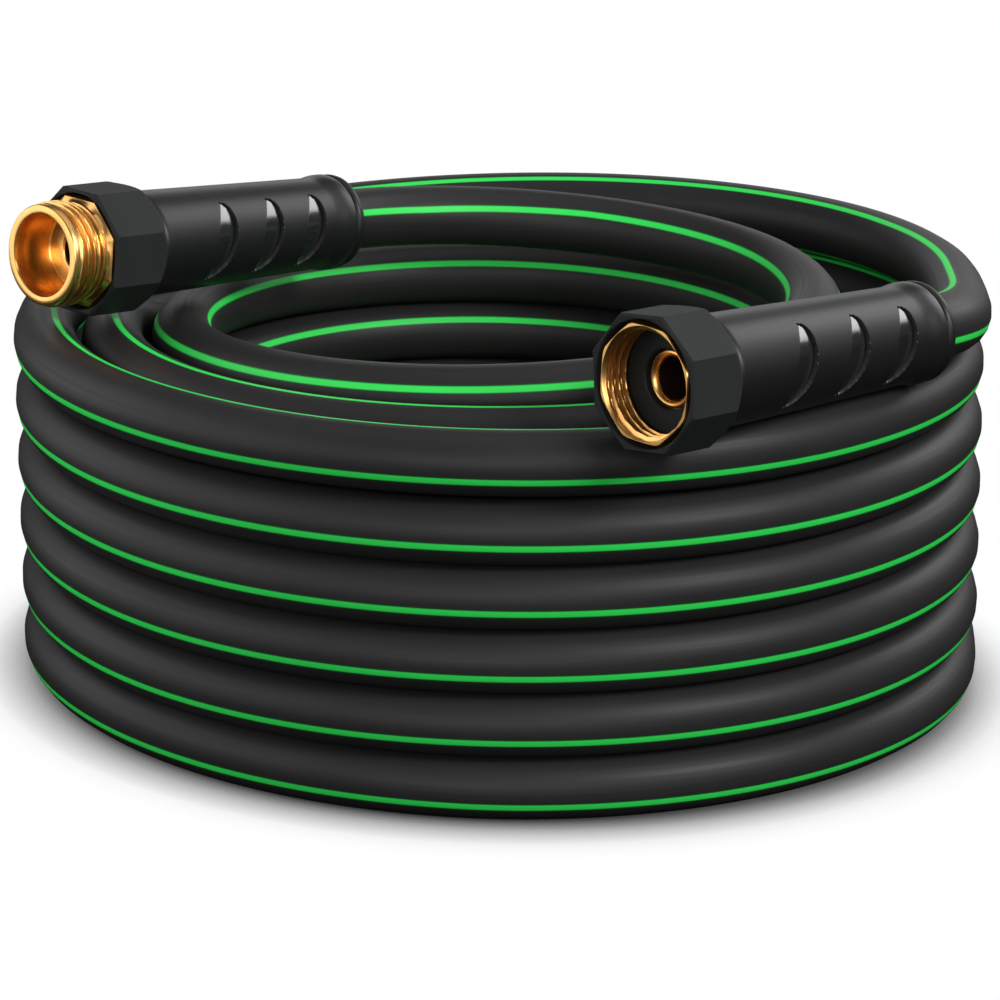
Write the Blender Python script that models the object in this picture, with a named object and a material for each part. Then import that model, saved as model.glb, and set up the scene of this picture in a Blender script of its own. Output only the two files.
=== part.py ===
"""A coiled garden hose with a male and a female coupling lying on top of the coil."""
import bpy
import math
from mathutils import Matrix, Vector
from mathutils.geometry import interpolate_bezier

# the coil, in metres
HOSE_D = 0.0160  # outer diameter of the hose
TURN_R = 0.1173  # outer column of turns, from the coil's axis to the middle of the hose
COLUMN_GAP = 0.00104  # between neighbouring columns of turns
COLUMNS = 3
LAYERS = 6
GAP = 0.0003  # between pieces that touch in the real hose
COIL_X, COIL_Y = -0.00033, 0.00898  # the coil's axis in the row's frame

# brass parts
THREAD_D = 0.0267  # outer diameter of the male thread
THREAD_PITCH = 0.0022
RIDGE = 0.0011  # height of the male thread's ridges
THREAD_PLAY = 0.0003  # the female thread is this much larger in radius
NUT_RIDGE = 0.0006
NUT_WALL = 0.00065
SOCKET_DEPTH = 0.0084  # from the nut's mouth to its washer
SHOULDER = 0.0017  # thickness of the nut's back
STEM_LENGTH = 0.0113  # male thread in front of its collar
STEM_MOUTH_WALL = 0.0017
STEP_DEPTH = 0.0118  # how deep the wide part of the stem's bore is
STEM_WALL = 0.0030
TAIL_WALL = 0.0026
TAIL_FLANGE = 0.0011
FLANGE_PROUD = 0.00065  # the stem's flange over its thread
FLANGE_SET = 0.0006  # how far the stem's flange lies inside its collar
FLANGE = 0.0028
WASHER = 0.0020
WASHER_LIP = 0.0016  # how far the washer stands back from the tail's bore
WASHER_PLAY = 0.0012
TAIL_PLAY = 0.0014
NECK_PLAY = 0.0006

# plastic parts
COLLAR_LENGTH = 0.0190
COLLAR_WALL = 0.0016  # over the brass inside it, middle of a flat
COLLAR_BEVEL = 0.0006
COLLAR_TAPER = 0.0020  # the same at its rear edge
SLEEVE_FRONT_WALL = 0.00535
SLEEVE_REAR_WALL = 0.00415
SLEEVE_EDGE = 0.0006
LIP = 0.0035  # length of the rolled lip at the sleeve's rear
LIP_GROOVE = 0.0009
HOSE_INSIDE = 0.0520  # how far the hose reaches into each sleeve

# where the couplings lie: mouth beyond the outer column, its bearing, and the heading to the rear
FEMALE_OUT, FEMALE_BEARING, FEMALE_HEADING, FEMALE_LENGTH = 0.01756, -76.88, 43.73, 0.09690
MALE_OUT, MALE_BEARING, MALE_HEADING, MALE_LENGTH = 0.00385, 195.04, 46.77, 0.10375
FEMALE_DIP, MALE_DIP = -1.84, -4.02  # slope from each mouth to its rear, in degrees
FEMALE_ROLL, MALE_ROLL = math.radians(15), math.radians(22.5)  # how the collars' flats lie

# derived sizes
HOSE_R = HOSE_D / 2
COLUMN_STEP = HOSE_D + COLUMN_GAP
INNER_TURN_R = TURN_R - (COLUMNS - 1) * COLUMN_STEP
RING_TOP = LAYERS * HOSE_D
TOP_TURN_Z = RING_TOP + HOSE_R + GAP
SLEEVE_BORE_R = HOSE_R + GAP
SLEEVE_FRONT_R = SLEEVE_BORE_R + SLEEVE_FRONT_WALL
SLEEVE_REAR_R = SLEEVE_BORE_R + SLEEVE_REAR_WALL
OCTAGON = 1 / math.cos(math.pi / 8)  # from the middle of a flat to a corner
NUT_THREAD_R = THREAD_D / 2 + THREAD_PLAY
NUT_R = NUT_THREAD_R + NUT_WALL
FLANGE_R = THREAD_D / 2 + FLANGE_PROUD
FEMALE_CORNER_R = (NUT_R + GAP + COLLAR_WALL) * OCTAGON
MALE_CORNER_R = (FLANGE_R + COLLAR_WALL) * OCTAGON


def around(radius, degrees, z=0.0):
    a = math.radians(degrees)
    return Vector((radius * math.cos(a), radius * math.sin(a), z))


def heading(degrees, slope=0.0):
    a, s = math.radians(degrees), math.radians(slope)
    return Vector((math.cos(a) * math.cos(s), math.sin(a) * math.cos(s), math.sin(s)))


# the female collar leans on the shoulder of the topmost outer turn, at its rear edge
FEMALE_BACK = heading(FEMALE_HEADING, FEMALE_DIP)
FEMALE_MOUTH = around(TURN_R + FEMALE_OUT, FEMALE_BEARING)
beside = (FEMALE_MOUTH + FEMALE_BACK * COLLAR_LENGTH).xy.length - TURN_R
leaning = math.sqrt((HOSE_R + FEMALE_CORNER_R + GAP) ** 2 - beside ** 2)
FEMALE_MOUTH.z = RING_TOP - HOSE_R + leaning - FEMALE_BACK.z * COLLAR_LENGTH
FEMALE_REAR = FEMALE_MOUTH + FEMALE_BACK * FEMALE_LENGTH

# the male collar lies flat on top of the coil, at its rear edge
MALE_BACK = heading(MALE_HEADING, MALE_DIP)
MALE_MOUTH = around(TURN_R + MALE_OUT, MALE_BEARING)
MALE_MOUTH.z = RING_TOP + GAP + MALE_CORNER_R * math.cos(MALE_ROLL) - MALE_BACK.z * (STEM_LENGTH + COLLAR_LENGTH)
MALE_REAR = MALE_MOUTH + MALE_BACK * MALE_LENGTH

for old in list(bpy.data.objects):
    bpy.data.objects.remove(old, do_unlink=True)
hose = bpy.data.collections.new("garden_hose")
bpy.context.scene.collection.children.link(hose)


def turned(name, profile, steps):
    """The closed profile of (radius, height) points turned once about Z."""
    points = [Vector((r, 0, z)) for r, z in profile]
    area = sum(a.x * b.z - b.x * a.z for a, b in zip(points, points[1:] + points[:1]))
    if area < 0:
        points.reverse()
    count = len(points)
    vertices, faces = [], []
    for i in range(steps):
        turn = Matrix.Rotation(2 * math.pi * i / steps, 4, "Z")
        vertices += [turn @ p for p in points]
        j = (i + 1) % steps
        for k in range(count):
            n = (k + 1) % count
            faces.append((i * count + k, j * count + k, j * count + n, i * count + n))
    mesh = bpy.data.meshes.new(name)
    mesh.from_pydata(vertices, [], faces)
    made = bpy.data.objects.new(name, mesh)
    hose.objects.link(made)
    return made


def lay_along(made, mouth, back, roll=0.0):
    """Puts the piece's origin on the mouth and turns its +Z to run back from there."""
    side = Vector((0, 0, 1)).cross(back).normalized()
    up = back.cross(side)
    frame = Matrix((side, up, back)).transposed().to_4x4()
    made.matrix_world = Matrix.Translation(mouth) @ frame @ Matrix.Rotation(roll, 4, "Z")


def tube(name, points):
    """A closed round tube of the hose's size through the points."""
    curve = bpy.data.curves.new(name, "CURVE")
    curve.dimensions = "3D"
    curve.bevel_depth = HOSE_R
    curve.bevel_resolution = 2
    curve.use_fill_caps = True
    line = curve.splines.new("POLY")
    line.points.add(len(points) - 1)
    for point, place in zip(line.points, points):
        point.co = (*place, 1)
    made = bpy.data.objects.new(name, curve)
    hose.objects.link(made)
    return made


# the coil: every turn shows as a round lobe, and the lowest ones stand flat on the floor
def lobe(r, z, start, stop, parts=4):
    angles = [math.radians(start + (stop - start) * i / parts) for i in range(parts + 1)]
    return [(r + HOSE_R * math.cos(a), z + HOSE_R * math.sin(a)) for a in angles]


VALLEY = 74  # how far round a lobe shows before the one above or below meets it, in degrees
SADDLE = 38  # the same between two columns
FOOT, FOOT_EDGE, FOOT_RISE = 0.375 * HOSE_R, 0.575 * HOSE_R, 0.35 * HOSE_R  # flat under each lowest turn
columns = [TURN_R - i * COLUMN_STEP for i in range(COLUMNS)]
heights = [HOSE_R + i * HOSE_D for i in range(LAYERS)]
ring = []
for i, r in enumerate(reversed(columns)):
    if i:
        ring += [(r - FOOT_EDGE, FOOT_RISE)]
    ring += [(r - FOOT, 0), (r + FOOT, 0)]
    if i < COLUMNS - 1:
        ring += [(r + FOOT_EDGE, FOOT_RISE)]
ring += lobe(TURN_R, heights[0], -40, VALLEY, 3)
for z in heights[1:-1]:
    ring += lobe(TURN_R, z, -VALLEY, VALLEY)
ring += lobe(TURN_R, heights[-1], -VALLEY, 180 - SADDLE, 5)
for r in columns[1:-1]:
    ring += lobe(r, heights[-1], SADDLE, 180 - SADDLE, 3)
ring += lobe(INNER_TURN_R, heights[-1], SADDLE, 180 + VALLEY, 5)
for z in reversed(heights[1:-1]):
    ring += lobe(INNER_TURN_R, z, 180 - VALLEY, 180 + VALLEY)
ring += lobe(INNER_TURN_R, heights[0], 180 - VALLEY, 180 + 40, 3)
turned("hose_coil", ring, 40)

# the female end: out of its sleeve, then along the top of the outer column
FEMALE_JOIN, FEMALE_STOP = 8, 150
FEMALE_LEAD, FEMALE_SWEEP = 0.021, 0.042  # the curve's handles at the sleeve and at the coil
joined = around(TURN_R, FEMALE_JOIN, TOP_TURN_Z)
curve_in = interpolate_bezier(FEMALE_REAR, FEMALE_REAR + FEMALE_BACK * FEMALE_LEAD,
                              joined - heading(FEMALE_JOIN + 90) * FEMALE_SWEEP, joined, 18)
run = [FEMALE_REAR - FEMALE_BACK * HOSE_INSIDE, *curve_in]
for i in range(1, 21):
    run.append(around(TURN_R, FEMALE_JOIN + (FEMALE_STOP - FEMALE_JOIN) * i / 20, TOP_TURN_Z))
tube("hose_female_end", run)

# the male end: along the top of the inner column, then drawn in towards its sleeve
MALE_LEAVE, MALE_STOP = 20, -75
SHIFT_X, SHIFT_Y = -0.0035, -0.0067  # the topmost inner turn lies a little off the coil's axis
leave = math.radians(MALE_LEAVE)
arrive = math.acos((MALE_REAR.x - SHIFT_X) / INNER_TURN_R)
drawn = SHIFT_Y + INNER_TURN_R * math.sin(arrive) - MALE_REAR.y
slant = INNER_TURN_R * (math.cos(arrive) + math.sin(arrive) * MALE_BACK.y / MALE_BACK.x) * (arrive - leave)
run = [MALE_REAR - MALE_BACK * HOSE_INSIDE]
for i in range(25):
    t = 1 - i / 24
    a = leave + (arrive - leave) * t
    pull = drawn * (3 * t * t - 2 * t ** 3) + slant * (t ** 3 - t * t)
    z = TOP_TURN_Z + (MALE_REAR.z - TOP_TURN_Z) * t ** 3
    run.append(Vector((SHIFT_X + INNER_TURN_R * math.cos(a), SHIFT_Y + INNER_TURN_R * math.sin(a) - pull, z)))
for i in range(1, 17):
    run.append(Vector((SHIFT_X, SHIFT_Y, 0)) + around(INNER_TURN_R, MALE_LEAVE + (MALE_STOP - MALE_LEAVE) * i / 16, TOP_TURN_Z))
tube("hose_male_end", run)


def ridges(root, crest, first, count):
    """Rings standing from root to crest, a thread's pitch apart."""
    points = []
    for i in range(count):
        z = first + i * THREAD_PITCH
        points += [(root, z), (crest, z + 0.36 * THREAD_PITCH), (crest, z + 0.55 * THREAD_PITCH),
                   (root, z + 0.91 * THREAD_PITCH)]
    return points


def sleeve(name, front, mouth, back, length):
    groove = SLEEVE_REAR_R - LIP_GROOVE
    lay_along(turned(name, [
        (SLEEVE_BORE_R, front), (SLEEVE_FRONT_R - SLEEVE_EDGE, front), (SLEEVE_FRONT_R, front + SLEEVE_EDGE),
        (SLEEVE_REAR_R, length - LIP), (groove, length - 0.8 * LIP), (groove, length - 0.57 * LIP),
        (SLEEVE_REAR_R, length - 0.4 * LIP), (SLEEVE_REAR_R - 0.34 * LIP, length), (SLEEVE_BORE_R, length),
    ], 32), mouth, back)


def collar(name, corner, front, hole, depth, neck, mouth, back, roll):
    """Eight-sided collar with a recess from its front down to depth and a narrower neck behind."""
    rear = front + COLLAR_LENGTH
    lay_along(turned(name, [
        (hole, front), (corner - COLLAR_BEVEL, front), (corner, front + COLLAR_BEVEL), (corner, rear - COLLAR_TAPER),
        (corner - COLLAR_TAPER, rear), (neck, rear), (neck, front + depth), (hole, front + depth),
    ], 8), mouth, back, roll)


# female coupling: a nut and its collar that spin on the tail, a washer and the sleeve
TAIL_BORE_R = HOSE_R - TAIL_WALL
WASHER_R = NUT_THREAD_R - WASHER_PLAY
TAIL_FLANGE_R = NUT_THREAD_R - TAIL_PLAY
NUT_NECK_R = HOSE_R + NECK_PLAY
flange_z = SOCKET_DEPTH + WASHER + GAP
shoulder_z = flange_z + TAIL_FLANGE + GAP
nut_end = shoulder_z + SHOULDER
FRONT_SET = 0.0004  # how far the nut's rim lies inside its collar
collar("female_collar", FEMALE_CORNER_R, 0.0, (NUT_R + GAP) * OCTAGON, nut_end + GAP,
       (NUT_NECK_R + GAP) * OCTAGON, FEMALE_MOUTH, FEMALE_BACK, FEMALE_ROLL)
lay_along(turned("female_nut", [
    (NUT_R, FRONT_SET), (NUT_THREAD_R, FRONT_SET),
    *ridges(NUT_THREAD_R, NUT_THREAD_R - NUT_RIDGE, 2 * FRONT_SET, 3),
    (NUT_THREAD_R, shoulder_z), (NUT_NECK_R, shoulder_z), (NUT_NECK_R, nut_end), (NUT_R, nut_end),
], 32), FEMALE_MOUTH, FEMALE_BACK)
lay_along(turned("female_washer", [
    (TAIL_BORE_R + WASHER_LIP, SOCKET_DEPTH), (WASHER_R, SOCKET_DEPTH),
    (WASHER_R, SOCKET_DEPTH + WASHER), (TAIL_BORE_R + WASHER_LIP, SOCKET_DEPTH + WASHER),
], 24), FEMALE_MOUTH, FEMALE_BACK)
tail_end = FEMALE_LENGTH - HOSE_INSIDE - GAP
lay_along(turned("female_tail", [
    (TAIL_BORE_R, flange_z), (TAIL_FLANGE_R, flange_z), (TAIL_FLANGE_R, flange_z + TAIL_FLANGE),
    (HOSE_R, flange_z + TAIL_FLANGE), (HOSE_R, tail_end), (TAIL_BORE_R, tail_end),
], 24), FEMALE_MOUTH, FEMALE_BACK)
sleeve("female_sleeve", COLLAR_LENGTH + GAP, FEMALE_MOUTH, FEMALE_BACK, FEMALE_LENGTH)

# male coupling: the threaded stem, its collar and the sleeve
root = THREAD_D / 2 - RIDGE
mouth_bore = root - STEM_MOUTH_WALL
stem_bore = HOSE_R - STEM_WALL
flange_z = STEM_LENGTH + FLANGE_SET
stem_end = MALE_LENGTH - HOSE_INSIDE - GAP
lay_along(turned("male_stem", [
    (mouth_bore, 0.0), (root - 0.36 * RIDGE, 0.0), *ridges(root, THREAD_D / 2, 0.36 * THREAD_PITCH, 4),
    (root, flange_z), (FLANGE_R, flange_z), (FLANGE_R, flange_z + FLANGE), (HOSE_R, flange_z + FLANGE),
    (HOSE_R, stem_end), (stem_bore, stem_end), (stem_bore, STEP_DEPTH + STEM_MOUTH_WALL / 2), (mouth_bore, STEP_DEPTH),
], 32), MALE_MOUTH, MALE_BACK)
collar("male_collar", MALE_CORNER_R, STEM_LENGTH, (FLANGE_R + GAP) * OCTAGON, FLANGE_SET + FLANGE + GAP,
       SLEEVE_BORE_R * OCTAGON, MALE_MOUTH, MALE_BACK, MALE_ROLL)
sleeve("male_sleeve", STEM_LENGTH + COLLAR_LENGTH + GAP, MALE_MOUTH, MALE_BACK, MALE_LENGTH)

# the row's origin is under the middle of the object's bounding box, not under the coil's own axis
for piece in hose.objects:
    piece.matrix_world = Matrix.Translation((COIL_X, COIL_Y, 0)) @ piece.matrix_world
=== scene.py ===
import bpy
import math
import numpy as np
from mathutils import Matrix, Vector


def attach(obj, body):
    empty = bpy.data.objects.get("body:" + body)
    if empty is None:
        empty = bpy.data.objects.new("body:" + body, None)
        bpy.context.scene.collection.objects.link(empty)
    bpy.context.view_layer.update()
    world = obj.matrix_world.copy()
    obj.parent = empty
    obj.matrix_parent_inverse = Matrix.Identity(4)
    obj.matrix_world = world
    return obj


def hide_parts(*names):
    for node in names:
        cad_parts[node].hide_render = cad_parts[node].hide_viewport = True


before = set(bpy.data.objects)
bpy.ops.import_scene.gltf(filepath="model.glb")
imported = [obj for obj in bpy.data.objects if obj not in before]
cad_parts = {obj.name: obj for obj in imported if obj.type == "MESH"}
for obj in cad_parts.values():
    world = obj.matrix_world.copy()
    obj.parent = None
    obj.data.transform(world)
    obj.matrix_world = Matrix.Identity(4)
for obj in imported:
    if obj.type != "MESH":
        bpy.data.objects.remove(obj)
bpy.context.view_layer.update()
print("frame loaded")


# colours, nodes and meshes

def paint(text):
    # sRGB hex to the linear colour that the shaders take
    parts = [int(text[i:i + 2], 16) / 255 for i in (1, 3, 5)]
    return [c / 12.92 if c <= 0.04045 else ((c + 0.055) / 1.055) ** 2.4 for c in parts] + [1.0]


def addNode(tree, kind, settings=None, links=None):
    node = tree.nodes.new("ShaderNode" + kind)
    for key, value in (settings or {}).items():
        if isinstance(key, int) or key in node.inputs:
            node.inputs[key].default_value = value
        else:
            setattr(node, key, value)
    for key, source in (links or {}).items():
        tree.links.new(source, node.inputs[key])
    return node


def newMaterial(name):
    material = bpy.data.materials.new(name)
    material.use_nodes = True
    material.node_tree.nodes.clear()
    return material, material.node_tree


def closeMaterial(tree, shader, bump):
    tree.links.new(bump.outputs["Normal"], shader.inputs["Normal"])
    addNode(tree, "OutputMaterial", links={"Surface": shader.outputs["BSDF"]})


def loopMesh(name, rings, materials, closed=False, along=None, materialOf=None, sharp=None):
    # rings is (count, sides, 3): neighbouring rings are joined by quads, and closed joins the last to the first.
    # along is each ring's distance, materialOf gives a face's material by ring and side, sharp is in degrees
    count, sides = rings.shape[:2]
    mesh = bpy.data.meshes.new(name)
    spans = count if closed else count - 1
    i, j = np.meshgrid(np.arange(spans), np.arange(sides), indexing="ij")
    n, k = (i + 1) % count, (j + 1) % sides
    quads = np.stack([i * sides + j, i * sides + k, n * sides + k, n * sides + j], -1).reshape(-1, 4)
    faces = quads.tolist()
    if not closed:
        faces += [list(range(sides))[::-1], [(count - 1) * sides + s for s in range(sides)]]
    mesh.from_pydata(rings.reshape(-1, 3).tolist(), [], faces)
    along = np.arange(count) / count if along is None else along
    step = np.append(along, along[-1] + (along[-1] - along[-2]))
    u, v = j / sides, step[i]
    u2, v2 = (j + 1) / sides, step[i + 1]
    uv = np.stack([u, v, u2, v, u2, v2, u, v2], -1).reshape(-1)
    layer = mesh.uv_layers.new(name="UVMap")
    full = np.zeros(len(mesh.loops) * 2)
    full[:len(uv)] = uv
    layer.data.foreach_set("uv", full)
    for material in materials:
        mesh.materials.append(material)
    if materialOf is not None:
        index = np.zeros(len(faces), int)
        index[:len(quads)] = materialOf(i, j).reshape(-1)
        mesh.polygons.foreach_set("material_index", index)
    mesh.polygons.foreach_set("use_smooth", np.ones(len(faces), bool))
    if sharp:
        mesh.set_sharp_from_angle(angle=math.radians(sharp))
    mesh.update()
    made = bpy.data.objects.new(name, mesh)
    bpy.context.scene.collection.objects.link(made)
    return made


# where the coil and the camera are: the coil's own axis leans a little towards the male end. All lengths are metres

coil = {"centre": (-0.00033, 0.00898), "lean": 1.954, "middle": 0.048}  # degrees, and height of its middle


def lean(points):
    # from the coil's own upright axes to the row's
    a = math.radians(coil["lean"])
    x, y, z = np.moveaxis(np.asarray(points, float), -1, 0)
    return np.stack([x * math.cos(a) - z * math.sin(a) + coil["centre"][0], y + coil["centre"][1],
                     x * math.sin(a) + z * math.cos(a) + coil["middle"]], -1)


camera = {"place": (-0.01201, -1.11511, 0.39143), "right": (0.999551, -0.001291, 0.029931),
          "up": (-0.02821, 0.295839, 0.954821), "lens": 161.52, "sensor": 36.0}

view = bpy.data.cameras.new("camera")
view.lens, view.sensor_width = camera["lens"], camera["sensor"]
view.clip_start, view.clip_end = 0.05, 20
eye = bpy.data.objects.new("camera", view)
bpy.context.scene.collection.objects.link(eye)
right, up = Vector(camera["right"]).normalized(), Vector(camera["up"])
up = (up - up.dot(right) * right).normalized()
eye.matrix_world = Matrix.Translation(camera["place"]) @ Matrix((right, up, right.cross(up))).transposed().to_4x4()
bpy.context.scene.camera = eye


# the couplings' places: each runs from its mouth back to the rear lip of its sleeve, and front is how far behind
# the mouth the collar starts. heading and slope are degrees, flat is half the collar's width across its flats

female = {"mouth": (0.03028, -0.12236, 0.11284), "heading": 43.73, "slope": -1.84, "length": 0.0969,
          "front": 0.0, "collarLength": 0.0190, "collarRoll": 15, "flat": 0.0162}
male = {"mouth": (-0.11733, -0.02246, 0.11402), "heading": 46.77, "slope": -4.02, "length": 0.10375,
        "front": 0.0113, "collarLength": 0.0190, "collarRoll": 22.5, "flat": 0.0156}
for part in (female, male):
    a, s = math.radians(part["heading"]), math.radians(part["slope"])
    part["back"] = np.array([math.cos(a) * math.cos(s), math.sin(a) * math.cos(s), math.sin(s)])
    side = np.cross((0, 0, 1), part["back"])
    part["side"] = side / np.linalg.norm(side)
    part["over"] = np.cross(part["back"], part["side"])
    part["rear"] = np.array(part["mouth"]) + part["back"] * part["length"]


# the hose: three green stripes along black rubber, in one length from the female sleeve to the male one

hose = {"diameter": 0.016, "sides": 21, "ringEvery": 0.004, "inSleeve": 0.052,
        "turnRadius": 0.11728, "middleRadius": 0.1000, "innerRadius": 0.0820,  # the columns of the winding
        "outerEnds": 2160, "loopEnds": 2520, "innerStarts": 2700, "woundTo": 4680,  # degrees wound at each change
        "lastRadius": 0.0823, "lastShift": (-0.0017, -0.0067),  # the last turn, and how far it lies off the axis
        "overlap": 20, "joinedFrom": 2, "leaves": (22, 122)}  # degrees: how the ends meet the winding


def smooth(x):
    x = np.clip(x, 0, 1)
    return x * x * (3 - 2 * x)


def windHose():
    d = hose["diameter"]
    outer, loop, inner, wound = hose["outerEnds"], hose["loopEnds"], hose["innerStarts"], hose["woundTo"]
    turn = np.arange(-4, wound + hose["overlap"] + 0.01, 2.0)  # degrees wound, from the female end
    a = np.radians(turn)
    # radius of the winding: outer column, a loop laid on top of the middle, then the inner column
    radius = np.full_like(turn, hose["turnRadius"])
    radius += (hose["middleRadius"] - hose["turnRadius"]) * smooth((turn - outer) / 120)
    radius += (hose["innerRadius"] - hose["middleRadius"]) * smooth((turn - loop) / 180)
    # height of its middle over the coil's middle
    down = (3.25 - turn / 360) * d
    bottom = -2.5 * d
    onTop = (2.67 - 0.1 * (turn % 360) / 360) * d
    rise = ((turn - inner) / 360 - 2.5) * d  # climbs one diameter a turn
    height = np.where(turn < outer, down, bottom)
    lift = smooth((turn - outer - 65) / 120) * (1 - smooth((turn - loop + 15) / 120))
    height = np.where((turn >= outer) & (turn < inner), bottom + (onTop - bottom) * lift, height)
    height = np.where(turn >= inner, rise, height)
    # the female end's own turn stands up a little on the near side
    height += 0.055 * d * smooth((turn - 185) / 50) * (1 - smooth((turn - 310) / 50))
    # the last turn lies higher and a little off the axis
    height += d * np.interp(turn, [4440, 4480, 4530, 4570, 4610, 4680, 4702],
                            [0, 0.07, 0.17, 0.185, 0.177, 0.075, 0.067])
    last = smooth((turn - wound + 90) / 110)
    radius += (hose["lastRadius"] - hose["innerRadius"]) * last
    points = np.stack([radius * np.cos(a) + hose["lastShift"][0] * last,
                       radius * np.sin(a) + hose["lastShift"][1] * last, height], -1)
    return turn, lean(points)


turn, coiled = windHose()
coiled[:, 2] = np.maximum(coiled[:, 2], hose["diameter"] / 2)  # nothing goes through the floor


def bezier(points, count):
    t = np.linspace(0, 1, count)[:, None]
    n = len(points) - 1
    return sum(math.comb(n, i) * (1 - t) ** (n - i) * t ** i * np.asarray(p) for i, p in enumerate(points))


def hoseLine():
    d, wound, runCount, insideCount = hose["diameter"], hose["woundTo"], 24, 12
    # out of the female sleeve and onto the coil
    start, way = female["rear"], female["back"]
    k = int(np.argmin(abs(turn)))
    joined, heading = coiled[k], coiled[k + 1] - coiled[k - 1]
    heading = heading / np.linalg.norm(heading)
    inRun = bezier([start, start + way * 0.32 * d, start + way * 1.16 * d, joined - heading * 1.82 * d,
                    joined - heading * 1.22 * d, joined], runCount)
    # from the coil's last turn into the male sleeve: drawn towards the near side, as far as the sleeve is
    end, way = male["rear"], male["back"]
    theta = np.radians(np.arange(hose["leaves"][0], hose["leaves"][1] + 0.1, 2))
    r, (shiftX, shiftY) = hose["lastRadius"], hose["lastShift"]
    far = lean(np.stack([shiftX + r * np.cos(theta), shiftY + r * np.sin(theta),
                         (2.5 + 0.575 + 0.86 * np.degrees(theta) / 360) * d], -1))
    t = (theta - theta[0]) / (theta[-1] - theta[0])
    span = r * (theta[-1] - theta[0])
    want = end - far[-1]
    left = far[-1] - far[-2]
    left = left / np.linalg.norm(left)
    gain = -way / abs(way.dot(left)) - left
    outRun = far + (3 * t ** 2 - 2 * t ** 3)[:, None] * want + ((t ** 3 - t ** 2) * span)[:, None] * gain
    inside = [female["rear"] - female["back"] * hose["inSleeve"] * (1 - s) for s in np.linspace(0, 0.96, insideCount)]
    outside = [male["rear"] - male["back"] * hose["inSleeve"] * s for s in np.linspace(0.04, 1, insideCount)]
    first, final = np.searchsorted(turn, hose["joinedFrom"]), np.searchsorted(turn, wound + hose["overlap"])
    line = np.concatenate([inside, inRun, coiled[first:final], outRun, outside])
    marks = np.concatenate([np.linspace(-60, 0, insideCount + runCount), turn[first:final],
                            wound + np.degrees(theta), np.full(insideCount, float(wound + hose["leaves"][1]))])
    # evenly spaced, with little corners smoothed away
    run = np.concatenate([[0], np.cumsum(np.linalg.norm(np.diff(line, axis=0), axis=1))])
    at = np.linspace(0, run[-1], int(run[-1] / hose["ringEvery"]))
    even = np.stack([np.interp(at, run, line[:, i]) for i in range(3)], -1)
    for _ in range(3):
        even[1:-1] = (even[:-2] + 2 * even[1:-1] + even[2:]) / 4
    return even, at, np.interp(at, run, marks)


line, run, marks = hoseLine()
print("hose %.3f m" % run[-1], "rings", len(line))

# how the first stripe lies round the hose, in degrees up from straight out, at places in degrees wound
stripe = {"places": [-60, 0, 25, 150, 185, 235, 310, 360, 720, 1080, 1440, 1800, 2160, 2340, 2505, 2700, 4440, 4480,
                     4600, 4680, 4750, 4784, 4900],
          "angles": [-12.6, -12.8, -5.0, -5.0, -13.0, -20.0, -20.0, -13.5, -14.4, -15.7, -17.2, -18.9, -20.9, -27.0,
                     -27.0, 27.0, 27.0, 29.0, 29.0, 25.5, 25.5, 36.0, 37.5]}


def hoseRings():
    tangents = np.gradient(line, axis=0)
    tangents /= np.linalg.norm(tangents, axis=1)[:, None]
    out = line - np.array([*coil["centre"], 0])
    out[:, 2] = 0
    out -= (out * tangents).sum(1)[:, None] * tangents
    out /= np.linalg.norm(out, axis=1)[:, None]
    over = np.cross(out, tangents)
    over *= np.where(over[:, 2] < 0, -1, 1)[:, None]
    lead = np.interp(marks, stripe["places"], stripe["angles"])
    sides = hose["sides"]
    angles = np.radians(lead[:, None] + (np.arange(sides) - 0.5)[None] * 360 / sides)
    r = hose["diameter"] / 2
    return line[:, None] + r * (np.cos(angles)[..., None] * out[:, None] + np.sin(angles)[..., None] * over[:, None])


# hose materials

def hoseRubber():
    # EPDM and PVC rubber, extruded: charcoal with a satin skin, faint lengthwise drag lines and fine pits
    material, tree = newMaterial("extrudedRubberCharcoal")
    uv = addNode(tree, "UVMap")
    stretch = addNode(tree, "Mapping", {"Scale": (60.0, 6.0, 1.0)}, {"Vector": uv.outputs["UV"]})  # lines 0.8 mm apart
    lines = addNode(tree, "TexNoise", {"Scale": 1.0, "Detail": 3.0, "Roughness": 0.6},
                    {"Vector": stretch.outputs["Vector"]})
    place = addNode(tree, "TexCoord")
    pits = addNode(tree, "TexNoise", {"Scale": 1400.0, "Detail": 2.0}, {"Vector": place.outputs["Object"]})  # 0.7 mm
    cloud = addNode(tree, "TexNoise", {"Scale": 22.0, "Detail": 3.0}, {"Vector": place.outputs["Object"]})  # 45 mm
    tone = addNode(tree, "MapRange", {"From Min": 0.3, "From Max": 0.7, "To Min": 0.0, "To Max": 1.0},
                   {"Value": cloud.outputs["Fac"]})
    base = addNode(tree, "Mix", {"data_type": "RGBA"}, {0: tone.outputs["Result"]})
    base.inputs[6].default_value, base.inputs[7].default_value = paint("#1f1e1e"), paint("#232222")
    rough = addNode(tree, "MapRange", {"From Min": 0.3, "From Max": 0.7, "To Min": 0.46, "To Max": 0.56},
                    {"Value": lines.outputs["Fac"]})
    both = addNode(tree, "Math", {"operation": "MULTIPLY_ADD", 1: 0.5},
                   {0: pits.outputs["Fac"], 2: lines.outputs["Fac"]})
    bump = addNode(tree, "Bump", {"Strength": 0.12, "Distance": 0.0002}, {"Height": both.outputs["Value"]})
    shader = addNode(tree, "BsdfPrincipled", {"IOR": 1.5, "Specular IOR Level": 0.22},
                     {"Base Color": base.outputs[2], "Roughness": rough.outputs["Result"]})
    closeMaterial(tree, shader, bump)
    return material


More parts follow.
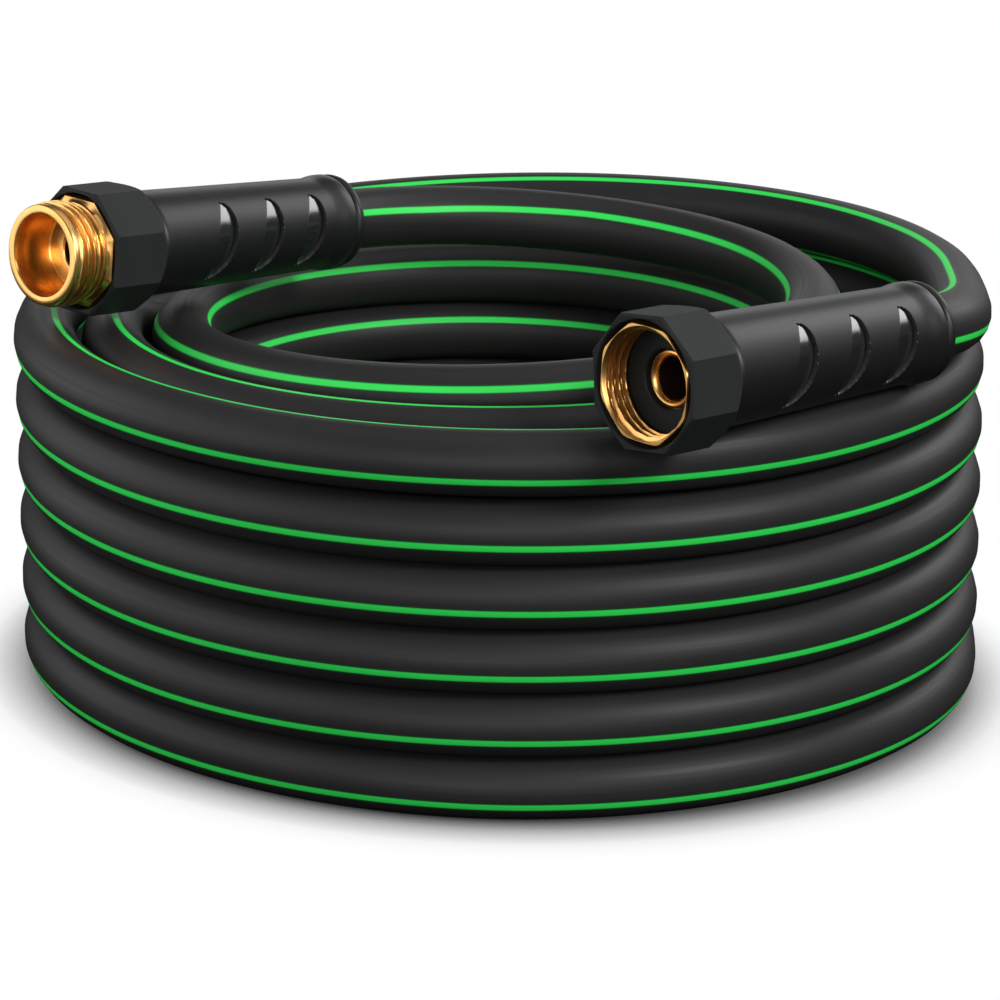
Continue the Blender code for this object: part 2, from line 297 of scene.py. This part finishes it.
def stripeRubber():
    # the same rubber coloured green and run in with the black, so the edges of each stripe darken
    material, tree = newMaterial("extrudedRubberGreen")
    uv = addNode(tree, "UVMap")
    split = addNode(tree, "SeparateXYZ", links={"Vector": uv.outputs["UV"]})
    sides = addNode(tree, "Math", {"operation": "MULTIPLY", 1: float(hose["sides"])}, {0: split.outputs["X"]})
    part = addNode(tree, "Math", {"operation": "FRACT"}, {0: sides.outputs["Value"]})
    edge = addNode(tree, "Math", {"operation": "PINGPONG", 1: 0.5}, {0: part.outputs["Value"]})
    fade = addNode(tree, "MapRange", {"From Min": 0.08, "From Max": 0.24, "To Min": 0.0, "To Max": 1.0},
                   {"Value": edge.outputs["Value"]})
    base = addNode(tree, "Mix", {"data_type": "RGBA"}, {0: fade.outputs["Result"]})
    base.inputs[6].default_value, base.inputs[7].default_value = paint("#083a16"), paint("#30d053")
    place = addNode(tree, "TexCoord")
    pits = addNode(tree, "TexNoise", {"Scale": 1400.0, "Detail": 2.0}, {"Vector": place.outputs["Object"]})
    bump = addNode(tree, "Bump", {"Strength": 0.08, "Distance": 0.0002}, {"Height": pits.outputs["Fac"]})
    shader = addNode(tree, "BsdfPrincipled", {"IOR": 1.5, "Roughness": 0.50, "Specular IOR Level": 0.22},
                     {"Base Color": base.outputs[2]})
    closeMaterial(tree, shader, bump)
    return material


rubber, green = hoseRubber(), stripeRubber()
third = hose["sides"] // 3
hoseBody = loopMesh("hose", hoseRings(), [rubber, green], along=run,
                    materialOf=lambda i, j: (j % third == 0).astype(int))
print("hose made")


# couplings

def octagon(flat, roll):
    corner = math.radians(roll)
    return lambda a: flat / np.cos((a - corner) % (math.pi / 4) - math.pi / 8)


def turnedPiece(name, part, stations, materials, sides=192, sharp=30, roll=0.0, materialOf=None):
    # stations are (distance behind the mouth, radius or a function of the angle), going once round the section
    a = math.radians(roll) + np.arange(sides) * 2 * math.pi / sides
    rings = []
    for back, radius in stations:
        r = radius(a) if callable(radius) else np.full(sides, float(radius))
        rings.append(np.array(part["mouth"]) + back * part["back"]
                     + r[:, None] * (np.cos(a)[:, None] * part["side"] + np.sin(a)[:, None] * part["over"]))
    rings = np.array(rings)
    steps = np.linalg.norm(np.diff(rings[:, 0], axis=0), axis=1)
    along = np.concatenate([[0], np.cumsum(steps)])
    return loopMesh(name, rings, materials, closed=True, along=along, sharp=sharp, materialOf=materialOf)


def turnedBrass():
    # brass turned on a lathe: golden, with rings that the tool left, and darker where it has tarnished
    material, tree = newMaterial("turnedBrass")
    uv = addNode(tree, "UVMap")
    stretch = addNode(tree, "Mapping", {"Scale": (2.0, 5000.0, 1.0)}, {"Vector": uv.outputs["UV"]})  # rings: 0.2 mm
    rings = addNode(tree, "TexNoise", {"Scale": 1.0, "Detail": 2.0}, {"Vector": stretch.outputs["Vector"]})
    place = addNode(tree, "TexCoord")
    cloud = addNode(tree, "TexNoise", {"Scale": 180.0, "Detail": 3.0}, {"Vector": place.outputs["Object"]})  # 5 mm
    tone = addNode(tree, "MapRange", {"From Min": 0.35, "From Max": 0.7, "To Min": 0.0, "To Max": 1.0},
                   {"Value": cloud.outputs["Fac"]})
    base = addNode(tree, "Mix", {"data_type": "RGBA"}, {0: tone.outputs["Result"]})
    base.inputs[6].default_value, base.inputs[7].default_value = paint("#ecb870"), paint("#e0a85c")
    rough = addNode(tree, "MapRange", {"From Min": 0.3, "From Max": 0.7, "To Min": 0.24, "To Max": 0.36},
                    {"Value": rings.outputs["Fac"]})
    bump = addNode(tree, "Bump", {"Strength": 0.10, "Distance": 0.00005}, {"Height": rings.outputs["Fac"]})
    shader = addNode(tree, "BsdfPrincipled", {"Metallic": 1.0},
                     {"Base Color": base.outputs[2], "Roughness": rough.outputs["Result"]})
    closeMaterial(tree, shader, bump)
    return material


def blackPlastic(name, hexColour, hexOther, roughness, grainScale, grainDepth, shine):
    # two near colours in 17 mm patches, and a grain of 1000 / grainScale mm
    material, tree = newMaterial(name)
    place = addNode(tree, "TexCoord")
    grain = addNode(tree, "TexNoise", {"Scale": grainScale, "Detail": 2.0}, {"Vector": place.outputs["Object"]})
    cloud = addNode(tree, "TexNoise", {"Scale": 60.0, "Detail": 3.0}, {"Vector": place.outputs["Object"]})
    tone = addNode(tree, "MapRange", {"From Min": 0.35, "From Max": 0.65, "To Min": 0.0, "To Max": 1.0},
                   {"Value": cloud.outputs["Fac"]})
    base = addNode(tree, "Mix", {"data_type": "RGBA"}, {0: tone.outputs["Result"]})
    base.inputs[6].default_value, base.inputs[7].default_value = paint(hexColour), paint(hexOther)
    low, high = roughness - 0.02, roughness + 0.03
    rough = addNode(tree, "MapRange", {"From Min": 0.3, "From Max": 0.7, "To Min": low, "To Max": high},
                    {"Value": grain.outputs["Fac"]})
    bump = addNode(tree, "Bump", {"Strength": grainDepth, "Distance": 0.0002}, {"Height": grain.outputs["Fac"]})
    shader = addNode(tree, "BsdfPrincipled", {"IOR": 1.49, "Specular IOR Level": shine},
                     {"Base Color": base.outputs[2], "Roughness": rough.outputs["Result"]})
    closeMaterial(tree, shader, bump)
    return material


brass = turnedBrass()
# painted shade: the bores of the tail and the stem drawn near black, standing in for the shade deep inside them
boreShade = blackPlastic("boreShadePainted", "#120806", "#170b07", 0.7, 900.0, 0.05, 0.10)
# glass-filled nylon out of a spark-eroded mould: fine texture, dull
collarPlastic = blackPlastic("mouldedNylonMatte", "#1e2020", "#212423", 0.62, 2200.0, 0.20, 0.14)
# thermoplastic rubber out of a smooth mould: softly shiny
sleevePlastic = blackPlastic("mouldedTpeSatin", "#141415", "#161617", 0.40, 2400.0, 0.02, 0.32)
# the same on the groove floors, off a polished insert: bright where they mirror a light
polishedPlastic = blackPlastic("mouldedTpePolished", "#19191a", "#1b1b1c", 0.17, 2400.0, 0.0, 1.0)
# nitrile rubber, moulded: dull, a little rough
washerRubber = blackPlastic("mouldedNitrileRubber", "#151817", "#191c1b", 0.55, 1500.0, 0.15, 0.16)


# collar: an eight-sided cap, its corners turned down to a cone at the rear
collar = {"rearRadius": 0.0139, "coneSlope": 0.86, "bore": 0.0092, "hollow": 0.0143, "roundOver": 0.0006}


def collarPiece(name, part, hole):
    f, roll, flat, deep, bore = part["front"], part["collarRoll"], part["flat"], collar["hollow"], collar["bore"]
    end = f + part["collarLength"]
    cone = lambda t: collar["rearRadius"] + (end - t) * collar["coneSlope"]
    both = lambda t, inset=0.0: (lambda a: np.minimum(octagon(flat, roll)(a) - inset, cone(t)))
    outer = [(f, both(f, 0.0007)), (f + 0.0002, both(f, 0.0003)), (f + collar["roundOver"], both(f, 0.0))]
    outer += [(t, both(t)) for t in np.linspace(f + 0.002, end - 0.006, 4)]
    outer += [(t, both(t)) for t in np.linspace(end - 0.0054, end - 0.0003, 18)]
    inner = [(end, 0.0136), (end, bore), (f + deep, bore), (f + deep, hole), (f + 0.0004, hole),
             (f + 0.0001, hole + 0.0002)]
    return turnedPiece(name, part, outer + inner, [collarPlastic], roll=roll)


# sleeve: tapered grip with three finger grooves on the near side and three on the far side, and a rolled lip.
# Each groove is D-shaped: its floor slopes down to the rear, where a narrow slot follows its curved edge.
groove = {"reach": 46.0, "ahead": 0.0019, "behind": 0.0048, "slant": 0.0026, "depth": 0.0012, "tilt": 6.0,
          "slot": 0.0005, "slotDepth": 0.0018, "radius": 0.0129}


def sleevePiece(name, part, grooves):
    start, end = part["front"] + part["collarLength"] + 0.0003, part["length"]
    outline = [(start, 0.0130), (start + 0.0001, 0.0134), (start + 0.0006, 0.01365), (end - 0.0105, 0.01215),
               (end - 0.0090, 0.01225), (end - 0.0074, 0.01255), (end - 0.0062, 0.0127), (end - 0.0042, 0.0127),
               (end - 0.0036, 0.0125), (end - 0.0033, 0.0119), (end - 0.0028, 0.0118), (end - 0.0026, 0.0121),
               (end - 0.0022, 0.0124), (end - 0.0014, 0.0125), (end - 0.0007, 0.0123), (end - 0.0001, 0.0117),
               (end, 0.0110)]
    backs, radii = np.array(outline).T
    body, at = [], start + 0.0008
    while at < end - 0.0106:
        body.append(at)
        at += 0.0002 if min(abs(at - 0.0008 - g) for g in grooves) < 0.0072 else 0.0008
    body = np.array(body)
    sides, halfArc = 300, groove["radius"] * math.radians(groove["reach"])
    a = np.degrees(np.arange(sides) * 2 * math.pi / sides)
    cut, polished = np.zeros((len(body), sides)), np.zeros((len(body), sides), bool)
    along = np.linspace(-1, 1, 121)  # from a groove's lower end to its upper one
    for middle, upward in ((180 - groove["tilt"], -1), (groove["tilt"], 1)):
        high = upward * ((a - middle + 180) % 360 - 180) / groove["reach"]
        share = np.clip(1 - high ** 2, 0, 1)[None]
        near = np.flatnonzero(abs(high) < 1.08)
        for g in grooves:
            chord = g + groove["slant"] * high[None]
            front, rear = chord - groove["ahead"] * share, chord + groove["behind"] * np.sqrt(share)
            width = np.maximum(rear - front, 1e-6)
            t = (body[:, None] - front) / width
            floor = groove["depth"] * np.clip(t, 0, 1) * np.clip(width / 0.0067, 0, 1) * (t < 1)
            rows = np.flatnonzero(abs(body - g) < 0.0085)
            curve = g + groove["slant"] * along + groove["behind"] * np.sqrt(1 - along ** 2)
            edge = np.stack([curve, halfArc * along], -1)
            here = np.stack(np.broadcast_arrays(body[rows][:, None], halfArc * high[near][None]), -1)
            away = np.sqrt(((here[:, :, None] - edge) ** 2).sum(-1)).min(-1)
            slot = np.zeros_like(cut)
            depth = groove["slotDepth"] * np.clip((groove["slot"] / 2 + 0.0001 - away) / 0.0002, 0, 1)
            slot[np.ix_(rows, near)] = depth
            cut = np.maximum(cut, np.maximum(floor, slot))
            polished |= (t > 0) & (t < 1) & (slot < 0.0005) & (width > 0.0008)
    full = outline[:2]
    full += [(b, (lambda c, r: (lambda _: r - c))(row, float(np.interp(b, backs, radii)))) for b, row in zip(body, cut)]
    full += outline[3:]
    full += [(end - 0.0004, 0.0086), (end - 0.0010, 0.0084), (start + 0.0001, 0.0084), (start, 0.0088)]
    inGroove = np.zeros((len(full), sides), int)
    inGroove[2:2 + len(body)] = polished
    return turnedPiece(name, part, full, [sleevePlastic, polishedPlastic], sides=sides, sharp=38,
                       materialOf=lambda i, j: inGroove[i, j])


# threads: 3/4 inch garden hose, 2.2 mm pitch. Each base is the radius that its ridges stand out from, or in from
thread = {"pitch": 0.0022, "step": 0.00011, "nutBase": 0.01365, "nutHeight": -0.0011, "nutEnds": 0.0084,
          "stemBase": 0.0122, "stemHeight": 0.00115, "stemStarts": 0.0019, "stemEnds": 0.0090}


def threadRadius(back, base, height, fade=1.0):
    # a right-handed helix: the ridge moves back as it goes round
    def radius(a):
        phase = (back / thread["pitch"] - a / (2 * math.pi)) % 1.0
        ridge = np.clip(1.6 - abs(phase - 0.5) * 5.0, 0, 1)
        return base + height * fade * ridge
    return radius


femaleCollar = collarPiece("female_collar_moulded", female, 0.01515)
maleCollar = collarPiece("male_collar_moulded", male, 0.01480)
femaleSleeve = sleevePiece("female_sleeve_moulded", female, (0.04050, 0.05925, 0.07685))
maleSleeve = sleevePiece("male_sleeve_moulded", male, (0.05056, 0.06748, 0.08332))
print("plastic made")

# nut: eight-sided outside, its rim just inside the collar's mouth, threaded down to the washer
nut = {"flat": 0.01385, "roll": 22.5, "widest": 0.0147, "floor": 0.0121, "end": 0.0138, "hole": 0.0087}
nutRim = octagon(nut["flat"], nut["roll"])
rimTo = lambda share, inner: (lambda a: inner + (np.minimum(nutRim(a), nut["widest"]) - inner) * share)
nutStations = [(nut["end"], nutRim), (0.0012, nutRim), (0.0007, rimTo(0.92, 0.0133)), (0.00045, rimTo(0.75, 0.0133)),
               (0.00045, thread["nutBase"]), (0.0008, 0.01325)]
for b in np.arange(0.0009, thread["nutEnds"], thread["step"]):
    fade = min(1, (b - 0.0008) / 0.0008, (thread["nutEnds"] - b) / 0.0006)
    nutStations.append((b, threadRadius(b, thread["nutBase"], thread["nutHeight"], fade)))
nutStations += [(0.0085, thread["nutBase"]), (nut["floor"], thread["nutBase"]), (nut["floor"], nut["hole"]),
                (nut["end"], nut["hole"])]
femaleNut = turnedPiece("female_nut_turned", female, nutStations, [brass], sides=160, sharp=35)

femaleWasher = turnedPiece("female_washer_moulded", female, [
    (0.0104, 0.0130), (0.0088, 0.0130), (0.0084, 0.0127), (0.0084, 0.0076), (0.0087, 0.0072), (0.0104, 0.0072)],
    [washerRubber], sides=128)

# tail: a flange that holds the nut, a rounded rim inside the washer, and a tube back into the hose
tailStations = [(0.0118, 0.0124), (0.0107, 0.0124), (0.0107, 0.0070), (0.0100, 0.0069), (0.0096, 0.0066),
                (0.0095, 0.0062), (0.0097, 0.0057), (0.0102, 0.0053), (0.0110, 0.0050), (0.0440, 0.0050),
                (0.0440, 0.0079), (0.0118, 0.0079)]
tailBore = 8  # the station where the bore's painted shade starts
femaleTail = turnedPiece("female_tail_turned", female, tailStations, [brass, boreShade], sides=128,
                         materialOf=lambda i, j: (i == tailBore).astype(int))

# stem: a rounded mouth, the outside thread, a neck, an eight-sided flange and a tube back into the hose
stem = {"flat": 0.0135, "roll": 22.5, "neck": 0.0122, "flangeFrom": 0.0123, "flangeTo": 0.0147, "tube": 0.0079,
        "bore": 0.0050, "end": 0.0510}
stemFlange = octagon(stem["flat"], stem["roll"])
flangeTo = lambda share, inner: (lambda a: inner + (stemFlange(a) - inner) * share)
stemStations = [(0.0004, 0.0104), (0.0001, 0.0106), (0.0, 0.0109), (0.0, 0.0123), (0.0002, 0.0126), (0.0006, 0.0128),
                (0.0017, 0.0129)]
for b in np.arange(thread["stemStarts"], thread["stemEnds"], thread["step"]):
    fade = min(1, max(0, (b - 0.0012) / 0.0009), max(0, (thread["stemEnds"] - b) / 0.0012))
    stemStations.append((b, threadRadius(b, thread["stemBase"], thread["stemHeight"], fade)))
stemStations += [(0.0091, stem["neck"]), (0.0100, stem["neck"]), (0.0102, 0.0126), (0.0109, 0.0127),
                 (0.0116, flangeTo(0.75, 0.0121)), (0.0118, flangeTo(0.92, 0.0121)),
                 (stem["flangeFrom"], stemFlange), (stem["flangeTo"], stemFlange), (stem["flangeTo"], stem["tube"]),
                 (stem["end"], stem["tube"]), (stem["end"], stem["bore"])]
# the station where the bore's painted shade starts
stemBore = len(stemStations) - 1
stemStations += [(0.0124, stem["bore"]), (0.0121, 0.0052), (0.0119, 0.0056), (0.0118, 0.0098), (0.0114, 0.0101),
                 (0.0060, 0.0102)]
maleStem = turnedPiece("male_stem_turned", male, stemStations, [brass, boreShade], sides=160, sharp=35,
                       materialOf=lambda i, j: (i == stemBore).astype(int))
print("brass made")

for piece, node, body, slotName in (
        (femaleCollar, "female_collar", "swivel", "collar_plastic"),
        (maleCollar, "male_collar", "hose", "collar_plastic"),
        (femaleSleeve, "female_sleeve", "hose", "sleeve_plastic"),
        (maleSleeve, "male_sleeve", "hose", "sleeve_plastic"),
        (femaleNut, "female_nut", "swivel", "brass"),
        (femaleWasher, "female_washer", "swivel", "washer_rubber"),
        (femaleTail, "female_tail", "hose", "brass"),
        (maleStem, "male_stem", "hose", "brass")):
    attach(piece, body)
    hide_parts(node)
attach(hoseBody, "hose")
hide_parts("hose_coil", "hose_female_end", "hose_male_end")


# the stage: a paper backdrop burnt out to white, as in the photograph, with a painted shadow darkening it only close to
# what stands on it.
# Only the camera sees it white: the hose and the couplings mirror it dim, as they do in the photograph.

studio = {"paper": "#ffffff", "paintedShadowHalfWay": "#9c9c9c", "paintedShadowTouching": "#141414", "shadowReach": 0.022,
          "mirrored": "#161616", "room": "#ffffff", "roomStrength": 0.07, "aim": (0, 0, 0.08)}
bpy.ops.mesh.primitive_plane_add(size=12, location=(0, 0, 0))
floor = bpy.context.object
floor.name = "floor"
paper, tree = newMaterial("paperBackdrop")
# painted shadow: ambient occlusion sets the paper's emission, near black where the coil touches it
near = addNode(tree, "AmbientOcclusion", {"Distance": studio["shadowReach"], "samples": 12})
fade = addNode(tree, "ValToRGB", links={"Fac": near.outputs["AO"]})
fade.color_ramp.elements.new(0.5)
for stop, (at, shade) in enumerate(((0.0, studio["paintedShadowTouching"]), (0.5, studio["paintedShadowHalfWay"]), (0.93, studio["paper"]))):
    fade.color_ramp.elements[stop].position = at
    fade.color_ramp.elements[stop].color = paint(shade)
white = addNode(tree, "Emission", {"Strength": 1.0}, {"Color": fade.outputs["Color"]})
dim = addNode(tree, "BsdfDiffuse", {"Color": paint(studio["mirrored"])})
ray = addNode(tree, "LightPath")
both = addNode(tree, "MixShader", links={0: ray.outputs["Is Camera Ray"], 1: dim.outputs["BSDF"],
                                         2: white.outputs["Emission"]})
addNode(tree, "OutputMaterial", links={"Surface": both.outputs["Shader"]})
floor.data.materials.append(paper)

world = bpy.data.worlds.new("room")
bpy.context.scene.world = world
world.use_nodes = True
air = world.node_tree.nodes["Background"]
air.inputs["Color"].default_value, air.inputs["Strength"].default_value = paint(studio["room"]), studio["roomStrength"]

# softboxes: place, width, height and how bright each one looks
lamps = {"front": ((-0.15, -2.30, 0.75), 1.8, 1.0, 4.5), "right": ((1.25, -0.05, 0.62), 0.9, 0.65, 0.3),
         "frontRight": ((1.05, -0.85, 1.00), 0.45, 0.45, 34.0), "backRight": ((0.88, 0.66, 0.72), 0.70, 0.75, 4.6),
         "left": ((-0.42, -0.06, 0.19), 0.75, 0.36, 1.8), "above": ((0.10, 0.10, 1.60), 1.5, 1.5, 0.8),
         "back": ((0.0, 1.8, 0.55), 1.6, 0.5, 1.5)}
for name, (place, width, height, bright) in lamps.items():
    lamp = bpy.data.lights.new(name, "AREA")
    lamp.shape, lamp.size, lamp.size_y = "RECTANGLE", width, height
    lamp.energy = bright * math.pi * width * height
    made = bpy.data.objects.new(name, lamp)
    bpy.context.scene.collection.objects.link(made)
    made.location = place
    made.rotation_euler = (Vector(studio["aim"]) - Vector(place)).to_track_quat("-Z", "Y").to_euler()
bpy.context.scene.view_settings.view_transform = "Standard"
print("studio made")
